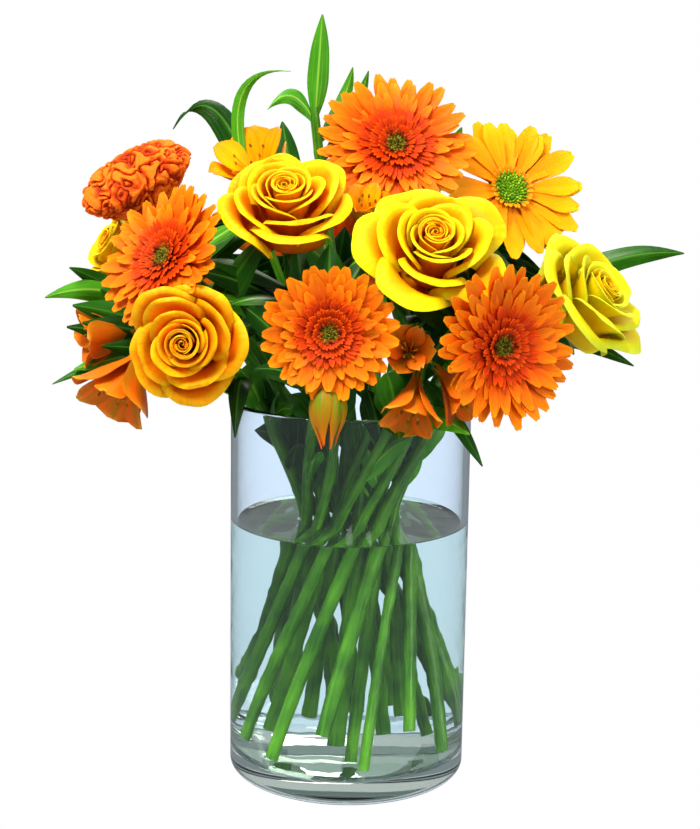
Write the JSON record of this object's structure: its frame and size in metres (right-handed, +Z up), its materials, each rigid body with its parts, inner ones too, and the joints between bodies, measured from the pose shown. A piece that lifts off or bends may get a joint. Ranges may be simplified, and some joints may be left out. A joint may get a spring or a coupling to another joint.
{
  "type": "flower bouquet in a glass vase",
  "caption": "Straight clear glass cylinder vase of water holding a round bouquet of orange gerberas, yellow roses, alstroemeria, a cockscomb and leafy green stems.",
  "frame": {"origin": "centre of the vase's foot, on the surface that it stands on", "axes": "+Z up along the vase's axis; -Y towards the viewer's side of the bouquet, +X to the viewer's right"},
  "size_m": [0.3895, 0.2544, 0.4741],
  "materials": {
    "glass": "polished",
    "water": "polished",
    "orange_petals": "matte",
    "amber_petals": "matte",
    "yellow_petals": "matte",
    "coral_petals": "matte",
    "rust_crest": "matte",
    "olive_disc": "matte",
    "lime_disc": "matte",
    "green_stems": "satin"
  },
  "bodies": {
    "root": {"vase": "glass", "water": "water", "alstroemeria_back_petals_1": "coral_petals", "alstroemeria_back_petals_2": "coral_petals", "alstroemeria_back_stem": "green_stems", "alstroemeria_front_petals_1": "coral_petals", "alstroemeria_front_stem": "green_stems", "alstroemeria_left_petals_1": "coral_petals", "alstroemeria_left_petals_2": "coral_petals", "alstroemeria_left_stem": "green_stems", "alstroemeria_middle_petals_1": "amber_petals", "alstroemeria_middle_stem": "green_stems", "alstroemeria_right_petals_1": "coral_petals", "alstroemeria_right_petals_2": "coral_petals", "alstroemeria_right_petals_3": "coral_petals", "alstroemeria_right_stem": "green_stems", "alstroemeria_top_petals_1": "amber_petals", "alstroemeria_top_stem": "green_stems", "cockscomb_crest": "rust_crest", "cockscomb_stem": "green_stems", "gerbera_amber_disc": "lime_disc", "gerbera_amber_rays": "amber_petals", "gerbera_amber_stem": "green_stems", "gerbera_back_disc": "olive_disc", "gerbera_back_rays": "orange_petals", "gerbera_back_stem": "green_stems", "gerbera_front_disc": "olive_disc", "gerbera_front_rays": "orange_petals", "gerbera_front_stem": "green_stems", "gerbera_left_disc": "olive_disc", "gerbera_left_rays": "orange_petals", "gerbera_left_stem": "green_stems", "gerbera_right_disc": "olive_disc", "gerbera_right_rays": "orange_petals", "gerbera_right_stem": "green_stems", "gerbera_top_disc": "olive_disc", "gerbera_top_rays": "orange_petals", "gerbera_top_stem": "green_stems", "rose_back_bloom": "yellow_petals", "rose_back_stem": "green_stems", "rose_centre_bloom": "yellow_petals", "rose_centre_stem": "green_stems", "rose_left_bloom": "yellow_petals", "rose_left_stem": "green_stems", "rose_right_bloom": "yellow_petals", "rose_right_stem": "green_stems", "rose_side_bloom": "yellow_petals", "rose_side_stem": "green_stems", "rose_top_bloom": "yellow_petals", "rose_top_stem": "green_stems", "shoot_back_left_stem": "green_stems", "shoot_back_right_stem": "green_stems", "shoot_left_stem": "green_stems", "shoot_right_stem": "green_stems", "shoot_top_stem": "green_stems"}
  },
  "joints": []
}
